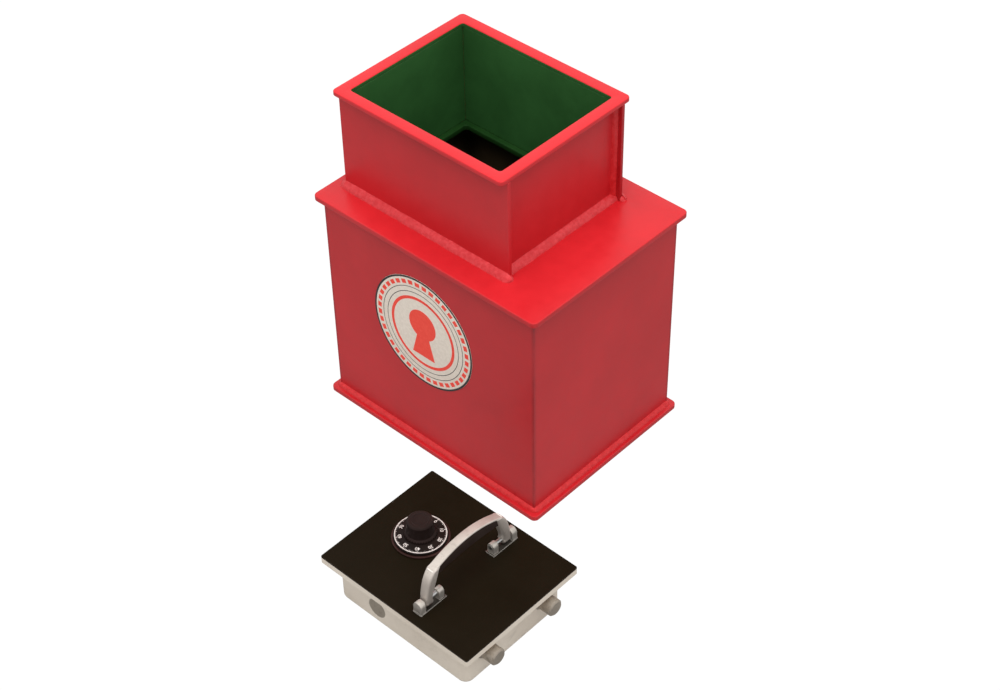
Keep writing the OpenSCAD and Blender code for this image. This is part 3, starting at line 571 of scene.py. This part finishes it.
def label_solid(name, outline, d0, d1, holes=()):
    """Flat print of the given outline (x, z in metres from the label's centre), from d0 to d1 in front of the wall."""
    bm = bmesh.new()
    loops = [outline] + list(holes)
    edges = []
    for lp in loops:
        vs = [bm.verts.new((LCX + x, LY - d1, LCZ + z)) for x, z in lp]
        edges += [bm.edges.new((vs[i], vs[(i + 1) % len(vs)])) for i in range(len(vs))]
    bmesh.ops.triangle_fill(bm, edges=edges, use_beauty=True)
    geo = bmesh.ops.extrude_face_region(bm, geom=bm.faces[:])
    for v in geo["geom"]:
        if isinstance(v, bmesh.types.BMVert):
            v.co.y = LY - d0
    bmesh.ops.recalc_face_normals(bm, faces=bm.faces)
    me = bpy.data.meshes.new(name)
    bm.to_mesh(me)
    bm.free()
    return me


def circle(r, n=128, cx=0.0, cz=0.0):
    return [(cx + r * math.cos(2 * math.pi * i / n), cz + r * math.sin(2 * math.pi * i / n)) for i in range(n)]


def arc_block(r0, r1, a0, a1, n=10):
    return [(r1 * math.cos(a0 + (a1 - a0) * i / n), r1 * math.sin(a0 + (a1 - a0) * i / n)) for i in range(n + 1)] + \
           [(r0 * math.cos(a1 + (a0 - a1) * i / n), r0 * math.sin(a1 + (a0 - a1) * i / n)) for i in range(n + 1)]


bm = bmesh.new()
# cream disc with a softly rounded rim
prof = [(0.0, 0.00040), (LR - 0.0009, 0.00040), (LR - 0.0004, 0.00034), (LR - 0.0001, 0.00018), (LR, 0.0)]
n = 160
rings = []
for r_, d_ in prof[1:]:
    rings.append([bm.verts.new((LCX + r_ * math.cos(2 * math.pi * i / n), LY - d_, LCZ + r_ * math.sin(2 * math.pi * i / n))) for i in range(n)])
for a, b in zip(rings, rings[1:]):
    for i in range(n):
        bm.faces.new((a[i], a[(i + 1) % n], b[(i + 1) % n], b[i]))
bm.faces.new(rings[0])
bm.faces.new(rings[-1][::-1])
bmesh.ops.recalc_face_normals(bm, faces=bm.faces)
me = bpy.data.meshes.new("label_disc")
bm.to_mesh(me)
bm.free()
o = new_obj("label_disc", me, LABEL, "safe", 30)
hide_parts("front_label")

ms = [label_solid("k", circle(LR - 0.0001, 160), 0.00030, 0.00046, [circle(LR - 0.0022, 160)])]
for rr in (0.0558, 0.0498):
    ms.append(label_solid("k", circle(rr, 128), 0.00036, 0.00046, [circle(rr - 0.0007, 128)]))
new_obj("label_black_rings", join_meshes("label_black_rings", ms), LABEL_BLACK, "safe", 30)

ms = []
blocks = 40
for i in range(blocks):
    a = 2 * math.pi * (i + 0.5) / blocks
    half = math.radians(2.9)
    ms.append(label_solid("k", arc_block(0.0585, LR - 0.0046, a - half, a + half), 0.00036, 0.00047))
# keyhole
hole_r, hole_z, slot_w, slot_b, slot_z = 0.0185, 0.0105, 0.0085, 0.0155, -0.0315
a0 = math.asin(slot_w / hole_r)
key = [(hole_r * math.sin(t), hole_z + hole_r * math.cos(t)) for t in [(-math.pi + a0) + (2 * math.pi - 2 * a0) * i / 48 for i in range(49)]]
key += [(slot_b, slot_z), (-slot_b, slot_z)]
ms.append(label_solid("k", key, 0.00036, 0.00048))
ms.append(label_solid("k", circle(0.0440, 128), 0.00036, 0.00047, [circle(0.0405, 128)]))
new_obj("label_red_marks", join_meshes("label_red_marks", ms), LABEL_RED, "safe", 30)


# ------------------------------------------------------------------ door shell
cad_finish("door_plate", CREAM, 0.0008)
cad_finish("face_sheet", FACE, 0.0004, 2)
cad_finish("door_case", CREAM, 0.0006, 2)
cad_finish("case_cover", CREAM, 0.0003, 2)
cad_finish("cover_screws", ZINC)
cad_finish("blanking_plug", PLUG, 0.0004, 2)
cad_finish("fixed_dogs", STEEL, 0.0003, 2)
cad_finish("bolt_bushes", STEEL, 0.0003, 2)
for nme, mt in dict(lock_housing=ALLOY, lock_cover=ZINC, lock_cover_screws=ZINC, lock_screws=ZINC, wheel_post=BRASS, wheel_spacers=ZINC,
                    post_clip=SPRING, spring_bracket=ZINC, spring_bracket_screws=ZINC, bracket_screws=ZINC, spindle=ZINC, drive_cam=BRASS,
                    wheel_1=BRASS, wheel_2=BRASS, wheel_3=BRASS, bolt_bar=ZINC, bolt_nuts=ZINC, lock_bolt=BRASS, link_screw=ZINC,
                    lever_screw=ZINC, lock_lever=BRASS, lever_spring=SPRING, bolt_springs=SPRING, handle_pins=ZINC).items():
    cad_finish(nme, mt)
cad_finish("front_bolt", STEEL, 0.0003, 2)
cad_finish("back_bolt", STEEL, 0.0003, 2)
for n in ("handle_bracket_front", "handle_bracket_back"):
    cad_finish(n, bracket_metal("bracket_" + n[-5:].strip("_"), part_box(n)[0].z), 0.0003, 2)
cad_finish("dial_ring", RING, 0.0006, 3)
cad_finish("dial_disc", BLACK, 0.0003, 2)
cad_finish("dial_knob", KNOB, 0.0002, 2)


# ------------------------------------------------------------------ dial printing
def text_mesh(txt, size):
    cu = bpy.data.curves.new("num", "FONT")
    cu.body = txt
    cu.size = size
    cu.align_x, cu.align_y = "CENTER", "CENTER"
    cu.extrude = 0.00006
    cu.resolution_u = 4
    cu.offset = 0.00008
    ob = bpy.data.objects.new("num", cu)
    bpy.context.scene.collection.objects.link(ob)
    bpy.context.view_layer.update()
    me = bpy.data.meshes.new_from_object(ob.evaluated_get(bpy.context.evaluated_depsgraph_get()))
    bpy.data.objects.remove(ob)
    bpy.data.curves.remove(cu)
    return me


disc_z0 = disc_lo.z
top_edge = disc_z0 + 0.0028
top_in = disc_z0 + 0.0036
r_in = 0.0170


def dial_z(r):
    """Height of the disc's face at radius r."""
    t = min(1.0, max(0.0, (DIAL_R - 0.0008 - r) / (DIAL_R - 0.0008 - r_in)))
    return top_edge + (top_in - top_edge) * t


ms = []
for k in range(10):
    me = text_mesh(str(k * 10), 0.0050)
    a = -2 * math.pi * k / 10 + math.pi / 2
    r = 0.0205
    slope = math.atan2(top_in - top_edge, DIAL_R - 0.0008 - r_in)
    me.transform(Matrix.Translation((DIAL.x, DIAL.y, 0)) @ Matrix.Rotation(a - math.pi / 2, 4, "Z") @ Matrix.Translation((0, r, dial_z(r) + 0.00003)) @ Matrix.Rotation(-slope, 4, "X"))
    ms.append(me)


def annulus(cx, cy, r0, r1, zf, h, n=128):
    v, f = [], []
    for i in range(n):
        a = 2 * math.pi * i / n
        c, s = math.cos(a), math.sin(a)
        for r_, dz in ((r0, 0.0), (r1, 0.0), (r1, h), (r0, h)):
            v.append((cx + r_ * c, cy + r_ * s, zf(r_) + dz))
    for i in range(n):
        j = (i + 1) % n
        for k in range(4):
            l = (k + 1) % 4
            f.append((i * 4 + k, i * 4 + l, j * 4 + l, j * 4 + k))
    return mesh_from("ann", v, f)


ms.append(annulus(DIAL.x, DIAL.y, DIAL_R - 0.0019, DIAL_R - 0.0011, lambda r: dial_z(r) - 0.00002, 0.0001))
tick_v, tick_f = [], []
for k in range(100):
    a = 2 * math.pi * k / 100 + math.pi / 2
    ln = 0.0022 if k % 10 == 0 else (0.0016 if k % 5 == 0 else 0.0010)
    hw = 0.00030 if k % 10 == 0 else 0.00016
    r1, r0 = DIAL_R - 0.0018, DIAL_R - 0.0018 - ln
    d = Vector((math.cos(a), math.sin(a), 0))
    p = Vector((-math.sin(a), math.cos(a), 0))
    b = len(tick_v)
    for rr in (r0, r1):
        for s in (-1, 1):
            for dz in (-0.00002, 0.00008):
                q = Vector((DIAL.x, DIAL.y, dial_z(rr) + dz)) + d * rr + p * (s * hw)
                tick_v.append(q)
    tick_f += [(b, b + 2, b + 3, b + 1), (b + 4, b + 5, b + 7, b + 6), (b, b + 1, b + 5, b + 4), (b + 2, b + 6, b + 7, b + 3), (b, b + 4, b + 6, b + 2), (b + 1, b + 3, b + 7, b + 5)]
ms.append(mesh_from("ticks", tick_v, tick_f))
new_obj("dial_figures", join_meshes("dial_figures", ms), WHITE_INK, "dial", 30)


# ------------------------------------------------------------------ lift handle
HW = (hand_hi.x - hand_lo.x) / 2
HTOP = hand_hi.z - HZ
YOUT = (hand_hi.y - hand_lo.y) / 2
HCY = (hand_hi.y + hand_lo.y) / 2
ARM_IN = YOUT - 0.0090
KNEE_Y, GRIP_Y = YOUT - 0.0106, YOUT - 0.0197
ARCH, BAND, GRIP_T, GRIP_ARCH = 5.1, 0.0022, 0.0138, 1.8


def crown(y):
    return HTOP - ARCH * y * y


def under(y):
    return crown(y) - BAND


def section(o, i, half_x, r, n=5):
    """Rounded rectangle between an outer and an inner point of the outline (y, z), half_x wide each way."""
    o, i = Vector(o), Vector(i)
    c, d = (o + i) / 2, (o - i)
    h = d.length / 2
    d.normalize()
    r = min(r, 0.98 * h, 0.98 * half_x)
    out = []
    for k, (sx, sh) in enumerate(((1, 1), (-1, 1), (-1, -1), (1, -1))):
        for j in range(n + 1):
            a = math.radians(90 * k + 90 * j / n)
            x = sx * (half_x - r) + r * math.cos(a)
            q = sh * (h - r) + r * math.sin(a)
            p = c + d * q
            out.append((HX + x, HCY + p.x, HZ + p.y))
    return out


def sweep(name, stations):
    """stations: (outer point, inner point, half width, corner radius), from one end to the other."""
    loops = [section(*st) for st in stations]
    n = len(loops[0])
    verts = [v for lp in loops for v in lp]
    faces = []
    for a in range(len(loops) - 1):
        for i in range(n):
            j = (i + 1) % n
            faces.append((a * n + i, a * n + j, (a + 1) * n + j, (a + 1) * n + i))
    faces.append(tuple(range(n))[::-1])
    faces.append(tuple((len(loops) - 1) * n + i for i in range(n)))
    return mesh_from(name, verts, faces)


def path(pts, n):
    """Points of a smooth curve through pts, n to each span."""
    out = []
    for i in range(len(pts) - 1):
        p0, p1, p2, p3 = pts[max(i - 1, 0)], pts[i], pts[i + 1], pts[min(i + 2, len(pts) - 1)]
        for k in range(n):
            t = k / n
            out.append(tuple(0.5 * (2 * p1[c] + (p2[c] - p0[c]) * t + (2 * p0[c] - 5 * p1[c] + 4 * p2[c] - p3[c]) * t ** 2
                                    + (3 * p1[c] - p0[c] - 3 * p2[c] + p3[c]) * t ** 3) for c in (0, 1)))
    out.append(tuple(pts[-1]))
    return out


def handle_half():
    """Stations of the +Y half, from the foot's lowest point to the crown's middle."""
    st = []
    for k in range(9):  # half-round foot about the pin
        a = math.radians(86 * (1 - k / 8))
        z = -HW * math.sin(a)
        st.append(((YOUT, z), (ARM_IN, z), max(0.0006, HW * math.cos(a)), 0.0016))
    outer = path([(YOUT, 0.0), (YOUT - 0.0002, 0.006), (YOUT - 0.0014, 0.015), (YOUT - 0.0038, 0.0245), (YOUT - 0.0070, HTOP - 0.0158), (KNEE_Y, crown(KNEE_Y))], 8)
    inner = path([(ARM_IN, 0.0), (ARM_IN, 0.006), (ARM_IN - 0.0032, 0.016), (ARM_IN - 0.0072, 0.026), (GRIP_Y, under(GRIP_Y))], 10)
    st += [(o_, i_, HW, 0.0024) for o_, i_ in zip(outer[1:], inner[1:])]
    yo1, yi1 = GRIP_Y + 0.0012, GRIP_Y - 0.0010
    for k in range(1, 9):  # the cap over the knee, turning about the inner corner
        t = k / 8
        yo, yi = KNEE_Y + (yo1 - KNEE_Y) * t, GRIP_Y + (yi1 - GRIP_Y) * t
        st.append(((yo, crown(yo)), (yi, under(yi)), HW - 0.0005 * min(1.0, 2.5 * t), 0.0017))
    for k in range(1, 25):
        t = 1 - k / 24
        st.append(((yo1 * t, crown(yo1 * t)), (yi1 * t, under(yi1 * t)), HW - 0.0005, 0.0016))
    return st


half = handle_half()
other = [((-o_[0], o_[1]), (-i_[0], i_[1]), hx, r_) for o_, i_, hx, r_ in reversed(half[:-1])]
o = new_obj("lift_handle_body", sweep("lift_handle_body", half + other), SATIN, "handle", 50)
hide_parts("lift_handle")

# black grip under the crown, with rounded long edges
gst = []
for k in range(41):
    t = 1 - k / 20
    y, yb = GRIP_Y * t, (GRIP_Y + 0.0026) * t
    gst.append(((y, under(y) + 0.0011), (yb, HTOP - BAND - GRIP_T - GRIP_ARCH * yb * yb), HW - 0.0003, 0.0024))
o = new_obj("handle_grip_body", sweep("handle_grip_body", gst), GRIP, "handle", 50)
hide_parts("handle_grip")

# a thin raised lip across the crown where it meets each leg's cap
for s in (-1, 1):
    yk = KNEE_Y - 0.0006
    bm = bmesh.new()
    bmesh.ops.create_cube(bm, size=1.0)
    me = bpy.data.meshes.new("knee_lip")
    bmesh.ops.scale(bm, vec=(2 * HW - 0.0034, 0.0011, 0.0016), verts=bm.verts)
    bmesh.ops.bevel(bm, geom=bm.edges[:], offset=0.0003, segments=3, profile=0.5, affect="EDGES", clamp_overlap=True)
    bmesh.ops.rotate(bm, verts=bm.verts, cent=(0, 0, 0), matrix=Matrix.Rotation(-s * math.atan(2 * ARCH * yk), 3, "X"))
    bmesh.ops.translate(bm, vec=(HX, HCY + s * yk, HZ + crown(yk) - 0.0003), verts=bm.verts)
    bm.to_mesh(me)
    bm.free()
    new_obj("knee_lip_" + ("back" if s > 0 else "front"), me, LIP, "handle", 40)

# ------------------------------------------------------------------ stage, light and camera
floor = bpy.data.meshes.new("floor")
floor.from_pydata([(-6, -6, -0.0004), (6, -6, -0.0004), (6, 6, -0.0004), (-6, 6, -0.0004)], [], [(0, 1, 2, 3)])
floor_o = bpy.data.objects.new("floor", floor)
bpy.context.scene.collection.objects.link(floor_o)
fm = Mat("floor_white")
fcol = fm.mix(fm.ramp(fm.noise(1.3, 3.0), 0.3, 0.7), (0.60, 0.60, 0.60), (0.63, 0.63, 0.63))
fm.set(color=fcol, rough=0.9, spec=0.0)
lp = fm.t.nodes.new("ShaderNodeLightPath")


def glow(v):
    e = fm.t.nodes.new("ShaderNodeEmission")
    e.inputs["Color"].default_value = (1, 1, 1, 1)
    e.inputs["Strength"].default_value = v
    return e.outputs[0]


def mix_shader(f, a, b):
    n = fm.t.nodes.new("ShaderNodeMixShader")
    fm.link(f, n.inputs[0])
    fm.link(a, n.inputs[1])
    fm.link(b, n.inputs[2])
    return n.outputs[0]


seen = mix_shader(lp.outputs["Is Glossy Ray"], fm.b.outputs[0], glow(0.34))
seen = mix_shader(lp.outputs["Is Camera Ray"], seen, glow(1.03))
fm.link(seen, fm.out.inputs[0])
floor.materials.append(fm.m)

sc = bpy.context.scene
world = bpy.data.worlds.new("white")
sc.world = world
world.use_nodes = True
wt = world.node_tree
wt.nodes.clear()
wo = wt.nodes.new("ShaderNodeOutputWorld")
bg = wt.nodes.new("ShaderNodeBackground")
bg.inputs["Color"].default_value = (1.0, 1.0, 1.0, 1.0)
wl = wt.nodes.new("ShaderNodeLightPath")
wm = wt.nodes.new("ShaderNodeMapRange")
wm.inputs["To Min"].default_value = 0.53
wm.inputs["To Max"].default_value = 0.85
wt.links.new(wl.outputs["Is Glossy Ray"], wm.inputs["Value"])
wc = wt.nodes.new("ShaderNodeMapRange")
wc.inputs["To Max"].default_value = 1.03
wt.links.new(wl.outputs["Is Camera Ray"], wc.inputs["Value"])
wt.links.new(wm.outputs[0], wc.inputs["To Min"])
wt.links.new(wc.outputs[0], bg.inputs["Strength"])
wt.links.new(bg.outputs[0], wo.inputs[0])


def area(name, loc, target, size, power, col=(1, 1, 1)):
    ld = bpy.data.lights.new(name, "AREA")
    ld.shape = "RECTANGLE"
    ld.size, ld.size_y = size
    ld.energy = power
    ld.color = col
    ob = bpy.data.objects.new(name, ld)
    sc.collection.objects.link(ob)
    ob.location = loc
    ob.rotation_mode = "QUATERNION"
    ob.rotation_quaternion = (Vector(target) - Vector(loc)).to_track_quat("-Z", "Y")
    return ob


overhead = area("overhead", (0.35, -0.40, 2.6), (0.0, 0.0, 0.2), (2.2, 2.2), 80.0)
overhead.visible_glossy = False

sc.view_settings.view_transform = "Standard"
sc.view_settings.look = "None"
sc.view_settings.exposure = 0.0
sc.view_settings.gamma = 1.0

az, el, roll = math.radians(43.36), math.radians(41.98), math.radians(-1.09)
right = Vector((math.cos(az), math.sin(az), 0))
back = Vector((math.sin(az) * math.cos(el), -math.cos(az) * math.cos(el), math.sin(el)))
up = back.cross(right)
r2 = math.cos(roll) * right + math.sin(roll) * up
u2 = -math.sin(roll) * right + math.cos(roll) * up
cd = bpy.data.cameras.new("camera")
cd.sensor_width = 36.0
cd.lens = 70.87
cd.clip_start, cd.clip_end = 0.05, 50.0
cam = bpy.data.objects.new("camera", cd)
sc.collection.objects.link(cam)
m = Matrix((r2, u2, back)).transposed().to_4x4()
m.translation = Vector((1.0668, -1.1326, 1.4769))
cam.matrix_world = m
sc.camera = cam
